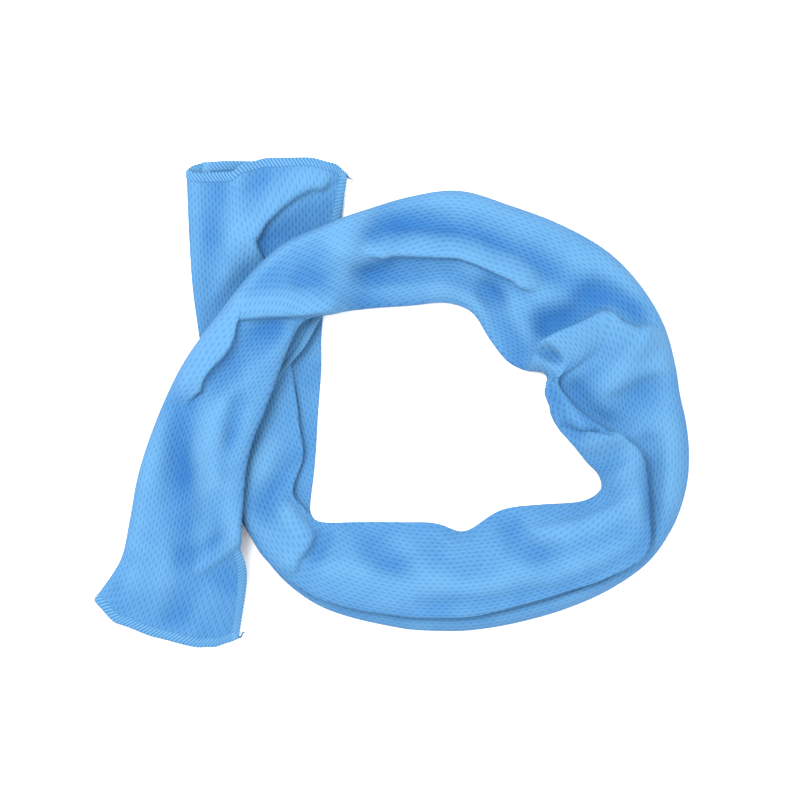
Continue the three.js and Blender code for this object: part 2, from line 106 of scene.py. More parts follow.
# The strip's cross-sections from end A to end B. The first four columns are hundredths of loopWidth
# from the middle of the loop. tuck (the covered layers) and pleat (the top layer): 0 open, 1 folded
# flat. leftEdge to rightEdge: shares of the strip's width. turn: degrees that the right flap turns
# over. lip: lift at the return fold. droop: how far the right edge is rolled down and under, 0 to 1.
# puff: swell in hundredths of loopWidth.
stationColumns = (
    "outerX", "outerY", "innerX", "innerY", "tuck", "pleat", "leftEdge",
    "foldIn", "foldOut", "rightEdge", "turn", "lip", "droop", "puff",
)
stationRows = [
    (-34.5, 38, -7, 38, 0, 0, 0.1, 0.8, 0.4, 1, 180, 0, 0.2, 0.5),
    (-34, 27, -8.5, 28.5, 0, 0, 0.15, 0.8, 0.4, 1, 180, 0, 0.2, 0.9),
    (-33.5, 19.5, -10, 22.5, 0, 0.3, 0.35, 0.7, 0.35, 1, 180, 0, 0, 0.6),
    (-32.5, 12, -11, 16, 0, 1, 0.55, 0.66, 0.2, 1, 180, 0, 0, 0.4),
    (-31.5, 5.5, -11.5, 10.5, 0, 1, 0.6, 0.7, 0.2, 0.88, 180, 0, 0, 0.4),
    (-30.5, 0.5, -11.5, 6, 0, 1, 0.7, 0.74, 0.2, 0.6, 180, 0, 0, 0.4),
    (-29.5, -6.5, -12, -1.5, 0, 1, 0.6, 0.8, 0.14, 0.32, 180, 0, 0, 0.7),
    (-27.5, -12.5, -12.5, -8.5, 0, 1, 0.58, 0.86, 0.05, 0.15, -180, 0.5, 0, 1),
    (-25.5, -19, -13, -14, 0, 1, 0.55, 0.7, 0.02, 0.2, -180, 0.8, 0, 1.2),
    (-23.5, -22.5, -13.5, -16.5, 0, 1, 0.5, 0.86, 0.02, 0.25, -180, 1, 0, 1.3),
    (-21.5, -26, -13.5, -18.5, 0, 1, 0.5, 0.98, 0.03, 0.3, -180, 1, 0, 1.4),
    (-17, -31, -12, -20, 0, 1, 0.4, 1, 0.1, 0.3, -180, 1, 0, 1.4),
    (-10.5, -35, -7.5, -20, 0, 1, 0.3, 1, 0.12, 0.32, -180, 1, 0, 1.6),
    (1.5, -38, 1, -20, 0, 1, 0.3, 1, 0.14, 0.34, -180, 1, 0, 1.8),
    (9, -38.5, 8, -20.2, 0, 1, 0.3, 1, 0.15, 0.35, -180, 1, 0, 1.9),
    (14, -38.3, 12, -21.8, 0, 1, 0.3, 1, 0.17, 0.36, -180, 1, 0, 2),
    (21.5, -37, 18, -18, 0, 1, 0.3, 1, 0.17, 0.36, -180, 1, 0, 2.1),
    (30, -34.5, 25.5, -17, 0, 1, 0.3, 1, 0.18, 0.38, -180, 1, 0, 2.2),
    (37.5, -31, 32, -16.5, 0, 1, 0.3, 1, 0.16, 0.38, -180, 1, 0, 2.2),
    (43.5, -26.5, 35, -14.5, 0, 1, 0.3, 1, 0.1, 0.34, -180, 1, 0, 2.2),
    (47.5, -20.5, 34.5, -12, 0, 1, 0.3, 1, 0.38, 0.6, -180, 1, 0, 2.2),
    (49.5, -14.5, 32.5, -10, 0, 1, 0.3, 1, 0.42, 0.62, -180, 1, 0, 2.2),
    (50, -9, 30.5, -7.5, 0, 1, 0.3, 1, 0.42, 0.6, -180, 1, 0, 2.2),
    (49.5, -3.5, 27.5, -4.5, 0, 1, 0.3, 0.98, 0.66, 0.75, -180, 1, 0, 2.2),
    (48.5, 1, 26, -1.5, 0, 1, 0.3, 0.97, 0.8, 0.87, -180, 0.6, 0, 2.2),
    (47.5, 7, 24.5, 2.5, 0.1, 1, 0.3, 0.98, 0.88, 0.93, -180, 0.3, 1, 2.2),
    (45.5, 13.5, 25, 4.5, 0.5, 0.2, 0.3, 0.94, 0.8, 0.96, -180, 0, 1, 2.2),
    (41.5, 20, 23, 5, 0.9, 0, 0.3, 0.8, 0.4, 1, -180, 0, 1, 2.2),
    (36, 25.5, 19.5, 6.5, 1, 0, 0.3, 0.8, 0.4, 1, -180, 0, 1, 2.2),
    (28, 30, 16, 11, 1, 0, 0.3, 0.8, 0.4, 1, -180, 0, 1, 2.2),
    (20, 33, 13.5, 15, 1, 0, 0.3, 0.8, 0.4, 1, -180, 0, 1, 2.2),
    (11.5, 35.5, 9, 16.5, 1, 0, 0.3, 0.8, 0.4, 1, -180, 0, 1, 2.2),
    (3, 34.5, 3, 16, 1, 0, 0.3, 0.8, 0.4, 1, -180, 0, 1, 2),
    (-5, 32, -4.5, 15.5, 1, 0, 0.3, 0.8, 0.4, 1, -180, 0, 1, 1.8),
    (-11.5, 29.5, -10.5, 14.5, 1, 0, 0.3, 0.8, 0.4, 1, -180, 0, 1, 1.4),
    (-18, 26.5, -14.5, 13.5, 1, 0, 0.3, 0.8, 0.4, 1, -180, 0, 1, 1.3),
    (-23.5, 21.5, -16.5, 10.5, 1, 0, 0.3, 0.8, 0.4, 1, -180, 0, 1, 1.3),
    (-29.5, 14, -18.5, 5.5, 1, 0, 0.3, 0.8, 0.4, 1, -180, 0, 1, 1.4),
    (-35.5, 5.5, -21, -1.5, 1, 0, 0.3, 0.8, 0.4, 1, -180, 0, 1, 1.6),
    (-39.5, -3, -23.5, -8, 1, 0, 0.3, 0.8, 0.4, 1, -180, 0, 1, 1.8),
    (-42.5, -12, -24.5, -15.5, 1, 0, 0.3, 0.8, 0.4, 1, -180, 0, 1, 1.8),
    (-44, -20, -24.3, -22.5, 0.9, 0, 0.3, 0.8, 0.4, 1, -180, 0, 0.7, 1.6),
    (-45.5, -26.5, -24.2, -28.5, 0.15, 0, 0.2, 0.8, 0.4, 1, -180, 0, 0, 1.2),
    (-50, -33.5, -25.5, -38.5, 0, 0, 0.2, 0.8, 0.4, 1, -180, 0, 0, 0.6),
]

# How far each end's hem bows out: share of the width, the top layer's bow, the under layers' bow,
# the bows in hundredths of loopWidth.
endBowA = [
    (0, 0.2, 0.4), (0.03, 0.2, 1.6), (0.08, 0.2, 2), (0.28, 0.3, 2.3), (0.36, 1.8, 2.2),
    (0.5, 2.7, 2.2), (0.75, 2.8, 2), (0.9, 1.9, 1.4), (1, 0, 0),
]
endBowB = [
    (0, 0, -0.4), (0.2, 2.6, 2.2), (0.46, 3.5, 3), (0.73, 3.8, 3.2),
    (0.85, 3.2, 2.6), (0.95, 1.9, 1.2), (1, 1, 0.6),
]
endBowRun = 0.045

# Folds and ridges of the top layer and hollows of the upper layers, between two shares of the strip's
# length. The gentle side is on the left, walking along the points. Height, the widths of the steep and
# the gentle side, how far the crest leans over the steep side and the points are in hundredths of
# loopWidth.
foldRows = [
    # name, from, to, height, drop, back, lean, points
    ("end A ridge", 0, 0.1, 0.8, 3.5, 3.5, 0, [(-25.5, 39), (-26.5, 29), (-28, 17)]),
    ("end A facet", 0, 0.1, -0.7, 4, 4, 0, [(-29.5, 36), (-31, 19)]),
    ("end A pleat", 0, 0.1, 1.5, 1, 5.5, 1.2, [
        (-20.5, 23), (-22.5, 26.5), (-21, 29.5), (-18.5, 32), (-16, 34), (-13, 35.5),
    ]),
    ("end A base", 0, 0.1, -0.9, 3, 3, 0, [(-31, 12), (-26, 19), (-21, 23.5)]),
    ("end A hollow", 0, 0.1, -1.6, 6, 6, 0, [(-18, 25.5), (-13.5, 28.5), (-9, 30)]),
    ("lobe dent", 0.13, 0.23, -0.9, 4, 4, 0, [(-16.5, -11), (-21, -17.5)]),
    ("lobe ridge", 0.08, 0.22, 0.6, 3, 3, 0, [(-16.5, 3), (-19.5, -4.5), (-21.5, -11.5)]),
    ("tongue hollow", 0.18, 0.3, -0.9, 2, 2, 0, [(-11, -22), (-12.5, -25.5)]),
    ("tongue lip", 0.16, 0.28, 1.5, 1, 4, 0.9, [
        (-15.5, -26.5), (-13.5, -24), (-12.5, -22), (-14.5, -19), (-16, -17.5),
    ]),
    ("bottom dent 1", 0.26, 0.45, -1.1, 4.5, 4.5, 0, [(-3.5, -21), (-2.5, -25), (1.5, -28)]),
    ("bottom dent 2", 0.26, 0.45, -0.5, 3.5, 3.5, 0, [(7, -25.5), (11, -28.5), (16, -28.5)]),
    ("bottom dent 3", 0.26, 0.45, -1.1, 4, 4, 0, [(19.5, -19), (21, -23), (26.5, -26.5)]),
    ("bottom ridge", 0.24, 0.45, 0.5, 3, 3, 0, [(-10.5, -27.5), (1.5, -30), (15, -30), (28, -27)]),
    ("notch lip", 0.26, 0.45, 1.6, 0.8, 2.4, 0.5, [
        (6.5, -22.2), (8.5, -23.6), (10.5, -24.5), (13, -24.3), (15.5, -23),
    ]),
    ("rim crease", 0.3, 0.47, -0.6, 1.6, 2, 0, [(5, -34), (18, -33), (28.5, -31), (36, -28), (41, -25)]),
    ("outer rim", 0.2, 0.46, 1, 1.3, 1.6, 0, [
        (-14, -33), (-8, -35.8), (0, -37.2), (8, -37.4), (18, -36.4), (28, -34), (37, -30),
    ]),
    ("corner groove", 0.38, 0.5, 1.1, 1.1, 4, 0.7, [(38.5, -16.5), (35, -18), (31.5, -19.5), (24, -21)]),
    ("corner crease", 0.42, 0.54, 0.9, 1, 2.8, 0.5, [(41.5, -8), (38.5, -11), (35.5, -14)]),
    ("corner fold", 0.46, 0.6, 1.6, 1.1, 3.5, 1.2, [(36, -5.5), (31.5, -4.5), (27.5, -2), (25, 2)]),
    ("corner hollow", 0.48, 0.6, -1.6, 3, 3, 0, [(31, 2), (33, -1.5), (35.5, -3.5)]),
    ("corner pocket", 0.46, 0.58, -1.8, 1.6, 1.6, 0, [(29, -4.5), (31.5, -6), (34.5, -5.5)]),
    ("corner roll", 0.46, 0.56, 0.8, 1.6, 1.6, 0, [(30.5, -7.5), (33.5, -8), (37, -6)]),
    ("right ridge", 0.42, 0.58, 0.9, 2.5, 2.8, 0, [(46.5, -17.5), (47, -4.5), (46, 7)]),
    ("right crease", 0.42, 0.5, 0.5, 1, 1, 0, [(45, -24.5), (45, -14)]),
    ("right valley", 0.44, 0.55, -1.5, 3, 3, 0, [(43.5, -21.5), (43.5, -14.5), (43, -7)]),
    ("right slope", 0.5, 0.58, -0.9, 5, 5, 0, [(38.5, -4), (41, 0.5), (44, 2)]),
    ("shoulder ridge", 0.52, 0.62, 0.7, 1.7, 2, 0, [(44.5, 12.5), (40.5, 7.5), (36, 3)]),
    ("shoulder crease", 0.5, 0.6, 0.7, 1.1, 2.5, 0.4, [(37, 1.5), (40.5, 4), (45.5, 5.5)]),
    ("shoulder lip", 0.54, 0.68, 2.4, 1.1, 6, 1.5, [
        (41, 12.5), (38.5, 13.5), (36, 16), (31.5, 13.5), (27, 11.5), (24.5, 10), (22.5, 6),
    ]),
    ("shoulder shade", 0.56, 0.68, -1.7, 4, 4, 0, [(26, 13.5), (30.5, 15), (35, 18)]),
    ("shoulder dent", 0.54, 0.66, -1.1, 3, 3, 0, [(38.5, 17), (41, 15), (43, 14)]),
    ("shoulder hollow", 0.54, 0.66, -2, 1.5, 1.5, 0, [(25.8, 8), (27.5, 7)]),
    ("top lip start", 0.64, 0.78, 1.2, 3, 4.5, 0, [(-9, 25), (-2.5, 24.5)]),
    ("top lip", 0.58, 0.78, 2, 1.1, 4.5, 1.1, [(0, 24.3), (11, 24), (14, 23), (20.5, 20)]),
    ("top valley", 0.58, 0.78, -1.2, 4.5, 4.5, 0, [(2, 30), (8, 29.5), (15, 27.5), (23, 24), (32, 19)]),
    ("under lip hollow", 0.6, 0.8, -1.1, 3, 3, 0, [(-5, 21), (3, 21.5), (10, 21.5), (17, 17.5)]),
    ("top inner valley", 0.58, 0.7, -1.3, 3.5, 3.5, 0, [(16.5, 19), (18, 13.5), (20.5, 8.5)]),
    ("crossing valley", 0.7, 0.82, -0.9, 4, 4, 0, [(-14.5, 20.5), (-8.5, 19), (-7, 15.5)]),
    ("crossing lip", 0.7, 0.9, 1.6, 1.2, 5, 1.2, [
        (-31.5, 3.5), (-30.5, 5), (-28, 7.5), (-26.3, 10), (-25.6, 13.6), (-20.5, 14), (-11.5, 14.5),
    ]),
    ("crossing hollow", 0.74, 0.9, -1.3, 4, 4, 0, [(-20, 12), (-24, 8.5), (-28.5, 3.5)]),
    ("B valley", 0.84, 0.98, -1.2, 4.5, 4.5, 0, [(-32.5, 0), (-35, -8), (-36, -16), (-34, -25)]),
    ("B ridge", 0.84, 1, 0.8, 3, 3, 0, [(-29.5, -4.5), (-31, -20), (-33, -27.5)]),
    ("B inner valley", 0.8, 0.92, -0.7, 2.2, 2.2, 0, [(-25.5, 0.5), (-26.5, -6.5)]),
    ("end B valley", 0.92, 1, -0.9, 4, 4, 0, [(-33.5, -27), (-36, -36)]),
    ("end B flare", 0.92, 1, -0.6, 1.7, 2, 0, [(-44, -26.5), (-47, -32)]),
    ("end B wrinkle", 0.92, 1, 0.9, 1.2, 2.5, 0.4, [(-31.5, -28), (-28.5, -26), (-25.5, -23.5)]),
]


def clamp(value):
    return np.clip(value, 0, 1)


def ease(value):
    held = clamp(value)
    return held * held * (3 - 2 * held)


def mix(a, b, t):
    return a + (b - a) * t


def tableAt(rows, share, column):
    shares = np.array([row[0] for row in rows], float)
    values = np.array([row[column] for row in rows], float)
    k = np.clip(np.searchsorted(shares, share), 1, len(shares) - 1)
    t = ease((share - shares[k - 1]) / (shares[k] - shares[k - 1]))
    return mix(values[k - 1], values[k], t)


def readStations():
    rows = np.array(stationRows, float)
    rows[:, :4] *= unit
    middles = (rows[:, 0:2] + rows[:, 2:4]) / 2
    steps = np.hypot(*np.diff(middles, axis=0).T)
    return rows, np.concatenate([[0], np.cumsum(steps)])


stationTable, stationAlong = readStations()
stripLength = stationAlong[-1]


def interpolateStations(along):
    # places follow smooth curves through the rows, the other columns ease from row to row
    last = len(stationAlong) - 1
    k = np.clip(np.searchsorted(stationAlong, along), 1, last)
    span = (stationAlong[k] - stationAlong[k - 1])[:, None]
    t = (along - stationAlong[k - 1])[:, None] / span
    low = stationTable[k - 1]
    high = stationTable[k]
    found = mix(low, high, ease(t))
    before = np.clip(np.arange(last + 1) - 1, 0, None)
    after = np.clip(np.arange(last + 1) + 1, None, last)
    runs = (stationAlong[after] - stationAlong[before])[:, None]
    slopes = (stationTable[after] - stationTable[before]) / runs
    curve = (
        (2 * t**3 - 3 * t**2 + 1) * low
        + (t**3 - 2 * t**2 + t) * span * slopes[k - 1]
        + (3 * t**2 - 2 * t**3) * high
        + (t**3 - t**2) * span * slopes[k]
    )
    found[:, :4] = curve[:, :4]
    return found


def distanceOutsideUnderStrand(x, y):
    least = np.full(x.shape, np.inf)
    for k in range(1, cloth["underStations"]):
        a = stationTable[k - 1]
        b = stationTable[k]
        start = (a[0:2] + a[2:4]) / 2
        step = (b[0:2] + b[2:4]) / 2 - start
        t = clamp(((x - start[0]) * step[0] + (y - start[1]) * step[1]) / (step @ step))
        halfWidth = mix(np.hypot(*(a[2:4] - a[0:2])), np.hypot(*(b[2:4] - b[0:2])), t) / 2
        distance = np.hypot(x - start[0] - step[0] * t, y - start[1] - step[1] * t)
        least = np.minimum(least, distance - halfWidth)
    return least


def crossingLift(x, y, share):
    layers = cloth["pitch"] * cloth["underLayers"]
    underHeight = cloth["thickness"] + layers + cloth["crossingMargin"]
    outside = distanceOutsideUnderStrand(x, y) - cloth["crossingMargin"]
    lift = (underHeight + cloth["crossingClearance"]) * (1 - ease(outside / cloth["crossingRamp"]))
    return np.where(share > cloth["upperStrandFrom"], lift, 0)


def nearestOnLine(x, y, line):
    # distance to a line of points, 1 on its left or -1 on its right, and the direction to its right
    best = np.full(x.shape, np.inf)
    side = np.ones(x.shape)
    rightX = np.zeros(x.shape)
    rightY = np.zeros(x.shape)
    for k in range(1, len(line)):
        ax, ay = line[k - 1][0] * unit, line[k - 1][1] * unit
        dx, dy = line[k][0] * unit - ax, line[k][1] * unit - ay
        length = math.hypot(dx, dy)
        t = clamp(((x - ax) * dx + (y - ay) * dy) / length**2)
        distance = np.hypot(x - ax - dx * t, y - ay - dy * t)
        nearer = distance < best
        best = np.where(nearer, distance, best)
        side = np.where(nearer, np.where(dx * (y - ay) - dy * (x - ax) >= 0, 1, -1), side)
        rightX = np.where(nearer, dy / length, rightX)
        rightY = np.where(nearer, -dx / length, rightY)
    return best, side, rightX, rightY


def foldShape(x, y, share, fold):
    # a crest with a gentle side on the left, whose lip leans over the steep side on the right
    _, low, high, height, drop, back, lean, line = fold
    best, side, rightX, rightY = nearestOnLine(x, y, line)
    distance = best / unit
    fromCrest = distance * side - lean
    reach = np.where(fromCrest > 0, fromCrest / back, -fromCrest / drop)
    # nothing beyond the reach of the wider side, which rounds the line's ends
    reach = np.where(distance > max(back, drop + lean), 1, reach)
    weight = 1 - ease(reach)
    window = ease((high - share) / cloth["foldFade"])
    if low > 0:
        window = window * ease((share - low) / cloth["foldFade"])
    # the pull towards the steep side fades within three leans behind the crest
    pull = np.where(fromCrest > 0, 1 - ease(fromCrest / max(3 * lean, 0.001)), weight)
    shift = lean * unit * pull * window
    return height * unit * weight * window, rightX * shift, rightY * shift


def hiddenControls(values, width):
    # the layers under the top one, from the left edge to the outer roll, as (across, height, top, upper)
    pitch = cloth["pitch"]
    half = pitch / 2
    bend = cloth["bendRadius"]
    tuck = values["tuck"]
    leftX = values["leftEdge"] * width
    tuckIn = width - values["droop"] * (cloth["hemInset"] + cloth["edgeRoll"])
    innerX = tuckIn - half
    tuckOut = tuckIn - cloth["tuckReach"] * width
    nearX = tuckOut + half
    farX = width * section["farPoint"]
    folded = [
        (nearX, 3),
        (farX, 3),
        (innerX, 3),
        (tuckIn, 2.5),
        (innerX, 2),
        (farX, 2),
        (nearX + half, 2),
        (nearX, 2),
        (tuckOut, 1.5),
        (nearX, 1),
        (nearX + half, 1),
        (farX, 1),
        (innerX, 1),
    ]
    tuckRise = min(1, tuck / section["apartBy"])
    points = []
    for k, (x, level) in enumerate(folded):
        flatX = mix(leftX, innerX, k / (len(folded) - 1))
        points.append((mix(flatX, x, tuck), mix(1, level, tuckRise) * pitch, 0, 0))
    topLevel = (2 + 2 * tuckRise) * pitch
    rollX = bend * section["rollInset"]
    outer = [
        (innerX + half, half),
        (innerX, 0),
        (farX, 0),
        (width * section["nearPoint"], 0),
        (bend, 0),
        (rollX, topLevel * 0.25),
        (rollX, topLevel * 0.75),
    ]
    points += [(x, height, 0, 0) for x, height in outer]
    return points, topLevel


def pleatedControls(values, width):
    # the top layer, its return and the flap at the right edge, as (across, level, shown)
    pitch = cloth["pitch"]
    half = pitch / 2
    bend = cloth["bendRadius"]
    foldIn = values["foldIn"] * width
    foldOut = values["foldOut"]
    lowerEnd = foldIn - half
    folded = []
    for k in range(7):
        across = mix(bend, lowerEnd, k / 6)
        pastReturn = across / width - foldOut + section["coverBefore"]
        folded.append((across, 2, 1 - ease(pastReturn / section["coverFade"])))
    folded.append((foldIn, 2.5, 0))
    returnStart = foldOut * width
    # a flap that turns past a right angle lies over the return and hides it
    underFlap = ease((values["turn"] - 90) / 60)
    lift = values["lip"] * cloth["lipLift"] / pitch
    for k in range(5):
        across = mix(lowerEnd, returnStart, k / 4)
        folded.append((across, 3 + lift * ease(k / 3), (1 - underFlap) * ease(k / 1.5)))
    angle = math.radians(values["turn"])
    flapShown = 1 if values["turn"] > 0 else 0
    flapLength = max(cloth["flapLeast"] + cloth["hemWidth"], abs(values["rightEdge"] - foldOut) * width)
    for share in (0.5, 1):
        part = abs(angle) * share
        x = returnStart - half * math.sin(part)
        level = 3 + lift + math.copysign(half * (1 - math.cos(part)), angle) / pitch
        folded.append((x, level, mix(1 - share, 1, flapShown)))
    for k in range(1, 5):
        run = flapLength * k / 4
        folded.append((x - run * math.cos(angle), level + run * math.sin(angle) / pitch, flapShown))
    return folded


def topControls(values, width, topLevel):
    # the folded top layer, mixed with a flat one whose right edge may roll under
    pitch = cloth["pitch"]
    roll = cloth["edgeRoll"]
    rollSteps = section["rollSteps"]
    pleat, droop = values["pleat"], values["droop"]
    folded = pleatedControls(values, width)
    last = len(folded) - 1
    rollStart = last - rollSteps - 1
    pleatRise = min(1, pleat / section["apartBy"])
    points = []
    for k, (x, level, shown) in enumerate(folded):
        openX = mix(cloth["bendRadius"], values["rightEdge"] * width, k / last)
        # the right edge rolled down and under, with its hem out of sight
        if k <= rollStart:
            rolledX = mix(cloth["bendRadius"], width - roll, k / rollStart)
            rolledFall = 0
        elif k < last:
            turn = (k - rollStart) / rollSteps * math.pi
            rolledX = width - roll + roll * math.sin(turn)
            rolledFall = roll * (1 - math.cos(turn))
        else:
            rolledX = width - roll - cloth["hemInset"]
            rolledFall = roll * section["underRoll"]
        flatX = mix(openX, rolledX, droop)
        fall = rolledFall * droop
        high = topLevel + (level - 2) * pitch
        share = max(pleat, pleatRise * (1 - ease(fall / section["fallFade"])))
        height = mix(topLevel - fall, high, share)
        flatShown = 1 - droop * ease((k - rollStart) / rollSteps)
        points.append((mix(flatX, x, pleat), height, mix(flatShown, shown, pleat), 1))
    return points


# How many steps each span between two control points is cut into.
spanPoints = [2, 2, 1, 1, 2, 2, 2, 1, 1, 2, 2, 2]  # hidden layers
spanPoints += [2, 1, 2, 3, 2, 3, 2, 3]  # inner fold, bottom layer and outer roll
spanPoints += [4] * 6 + [2, 3] + [7, 7, 7, 6]  # top layer, pleat fold and return
spanPoints += [3, 2] + [3] * 4  # turn of the edge and its flap


def refineSection(points):
    controls = np.array(points, float)
    rows = []
    for k, count in enumerate(spanPoints):
        for step in range(count):
            rows.append(mix(controls[k], controls[k + 1], step / count))
    rows.append(controls[-1])
    return np.array(rows)


def sectionPoints(row):
    values = dict(zip(stationColumns, row))
    width = math.hypot(values["innerX"] - values["outerX"], values["innerY"] - values["outerY"])
    hidden, topLevel = hiddenControls(values, width)
    return refineSection(hidden + topControls(values, width, topLevel))


def smoothAlong(values, axis, passes):
    for _ in range(passes):
        rows = np.moveaxis(values, axis, 0)
        inner = (rows[:-2] + 2 * rows[1:-1] + rows[2:]) / 4
        rows = np.concatenate([rows[:1], inner, rows[-1:]])
        values = np.moveaxis(rows, 0, axis)
    return values


# Fine wrinkles of the top layer: for the long and the soft ones, the size along and across the strip,
# the place in the noise and the share of the height.
wrinkle = {
    "height": 0.0009,
    "base": 0.4,
    "long": (0.06, 0.013, 3.1, 0.7),
    "soft": (0.018, 0.02, 8.4, 0.45),
}


def wrinkles(along, across):
    heights = np.full(along.shape, wrinkle["base"])
    for place in np.ndindex(along.shape):
        for sizeAlong, sizeAcross, layer, weight in (wrinkle["long"], wrinkle["soft"]):
            spot = Vector((along[place] / sizeAlong, across[place] / sizeAcross, layer))
            heights[place] += weight * noise.noise(spot)
    return heights * wrinkle["height"]


def endBow(column, share, fromA, fromB):
    bowA = tableAt(endBowA, share, column) * ease(1 - fromA / endBowRun)
    bowB = tableAt(endBowB, share, column) * ease(1 - fromB / endBowRun)
    return (bowB - bowA) * unit


def clothPoints():
    along = np.linspace(0, stripLength, cloth["stations"])
    rows = interpolateStations(along)
    sections = np.array([sectionPoints(row) for row in rows])
    sections = smoothAlong(sections, 1, cloth["sectionSmoothing"])
    sections = smoothAlong(sections, 0, cloth["stationSmoothing"])
    across, level, top, upper = np.moveaxis(sections, 2, 0)
    width = np.hypot(rows[:, 2] - rows[:, 0], rows[:, 3] - rows[:, 1])[:, None]
    stepX = (rows[:, 2] - rows[:, 0])[:, None] / width
    stepY = (rows[:, 3] - rows[:, 1])[:, None] / width
    alongGrid = np.repeat(along[:, None], across.shape[1], 1)
    share = across / width
    held = clamp(share)
    fromB = stripLength - alongGrid
    bow = mix(endBow(2, held, alongGrid, fromB), endBow(1, held, alongGrid, fromB), upper)
    x = rows[:, 0:1] + stepX * across + stepY * bow
    y = rows[:, 1:2] + stepY * across - stepX * bow
    pillow = clamp(1 - (2 * share - 1) ** 2) ** cloth["pillowPower"]
    lengthShare = alongGrid / stripLength
    nearMiddle = np.minimum(1, pillow * cloth["reliefReach"])
    relief = np.zeros(x.shape)
    shiftX = np.zeros(x.shape)
    shiftY = np.zeros(x.shape)
    for fold in foldRows:
        height, moveX, moveY = foldShape(x, y, lengthShare, fold)
        # a hollow takes the covered layers down with it, a ridge lifts the top layer alone
        weight = nearMiddle * (top if fold[3] > 0 else upper)
        relief += height * weight
        shiftX += moveX * weight
        shiftY += moveY * weight
    soft = wrinkles(alongGrid, across) * top
    puff = rows[:, stationColumns.index("puff"), None] * unit * pillow
    rise = np.maximum(0, puff + relief + soft) * upper
    z = cloth["thickness"] / 2 + level + rise + crossingLift(x, y, lengthShare)
    points = np.stack([x + shiftX, y + shiftY, z], axis=2)
    points = smoothAlong(points, 0, cloth["surfaceSmoothing"])
    points = smoothAlong(points, 1, cloth["surfaceSmoothing"])
    points[:, :, 2] = np.maximum(points[:, :, 2], cloth["thickness"] / 2)
    pattern = np.stack([alongGrid, across + level], axis=2)
    return points, pattern, paintedShadeMask(points[:, :, 2], top)


# The painted shade in hollows and painted highlight on ridges of the knit's colour: passes of smoothing
# along and across the strip for the surface, its surroundings, the wider surroundings and the result,
# and the depths below the two surroundings that count as full.
paintedShadeSettings = {
    "near": (3, 2),
    "around": (30, 25),
    "wide": (80, 50),
    "blur": (8, 4),
    "depth": 0.0034,
    "wideDepth": 0.008,
    "ridgeLimit": -0.6,
}


def smoothBoth(values, passes):
    return smoothAlong(smoothAlong(values, 0, passes[0]), 1, passes[1])


def paintedShadeMask(heights, top):
    # how far each place of the top layer lies below its surroundings: 1 in a hollow, below 0 on a ridge,
    # as a mask for painted shade and painted highlight
    near = smoothBoth(heights, paintedShadeSettings["near"])
    around = smoothBoth(near, paintedShadeSettings["around"])
    wide = smoothBoth(around, paintedShadeSettings["wide"])
    depth = (around - near) / paintedShadeSettings["depth"] + (wide - near) / paintedShadeSettings["wideDepth"]
    return smoothBoth(np.clip(depth, paintedShadeSettings["ridgeLimit"], 1) * top, paintedShadeSettings["blur"])


def gridMesh(points, uvs, values, valueName):
    # a grid of points as one smooth mesh; the values stay with its vertices for the material
    rows, columns = points.shape[:2]
    bm = bmesh.new()
    bmesh.ops.create_grid(bm, x_segments=rows - 1, y_segments=columns - 1, size=0.5)
    layer = bm.loops.layers.uv.new("UVMap")
    shade = bm.verts.layers.float.new(valueName)
    places = {}
    for vert in bm.verts:
        i = round((vert.co.x + 0.5) * (rows - 1))
        j = round((vert.co.y + 0.5) * (columns - 1))
        places[vert] = (i, j)
    for vert, place in places.items():
        vert.co = points[place]
        vert[shade] = values[place]
    for face in bm.faces:
        face.smooth = True
        for loop in face.loops:
            loop[layer].uv = uvs[places[loop.vert]]
    return bm


def addMesh(name, bm, material):
    mesh = bpy.data.meshes.new(name)
    bm.to_mesh(mesh)
    bm.free()
    made = bpy.data.objects.new(name, mesh)
    made.data.materials.append(material)
    bpy.context.scene.collection.objects.link(made)
    return made


def addPiece(name, bm, material, solid):
    made = addMesh(name, bm, material)
    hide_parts(solid)
    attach(made, "root")
    return made


def addCloth(material):
    points, pattern, valley = clothPoints()
    # the valley attribute carries painted shade for hollows and painted highlight for ridges to the
    # knit's colour
    bm = gridMesh(points, pattern * patternScale, valley, "valley")
    made = addPiece("towel_fabric", bm, material, "towel_cloth")
    wall = made.modifiers.new("thickness", "SOLIDIFY")
    wall.thickness = cloth["thickness"]
    wall.offset = 0
    highest = round(float(points[:, :, 2].max()), 4)
    print("cloth:", points.shape[0] * points.shape[1], "points, highest", highest)
    return made, points


# The overlocked edges: a padded band of slanted thread over the raw edge, with a line of needle
# stitches along its inner side. Widths and heights are in metres.
overlock = {
    "width": 0.0055,
    "overhang": 0.0005,
    "halfThickness": 0.0009,
    "ridge": 0.00028,
    "stitch": 0.0022,
    "slant": -0.0042,
    "samplesPerStitch": 5,
    "smoothing": 6,
    "needleAt": 0.9,
    "needleSpread": 0.06,
    "needleHeight": 0.0003,
    "needlePitch": 0.0026,
    # needleTone: the crest at the needle stitches, which shapes their relief and sets their painted
    # shade
    "needleTone": 0.45,
    "needleRoundness": 0.6,
    "crestMiddle": 0.4,
    "overhangPower": 6,
    "lowest": 0.0001,
    "mergeWithin": 1e-6,
    "mostSides": 40,
}

# Half of the band's profile: share of the width from the raw edge inwards, share of the half thickness.
bandProfile = [
    (0, 0), (0.03, 0.55), (0.12, 0.9), (0.3, 1), (0.5, 0.98),
    (0.68, 0.9), (0.82, 0.8), (0.9, 0.85), (0.98, 0.5), (1, 0),
]


def resample(rows, distances, wanted):
    return np.stack([np.interp(wanted, distances, rows[:, k]) for k in range(3)], axis=1)


def normalized(rows):
    return rows / np.maximum(np.linalg.norm(rows, axis=1), 1e-9)[:, None]


def inwardAt(lines, reach):
    # for each row of points that starts on an edge, the point at a distance in from the edge
    found = []
    for line in lines:
        distances = np.concatenate([[0], np.cumsum(np.linalg.norm(np.diff(line, axis=0), axis=1))])
        found.append([np.interp(reach, distances, line[:, k]) for k in range(3)])
    return np.array(found)


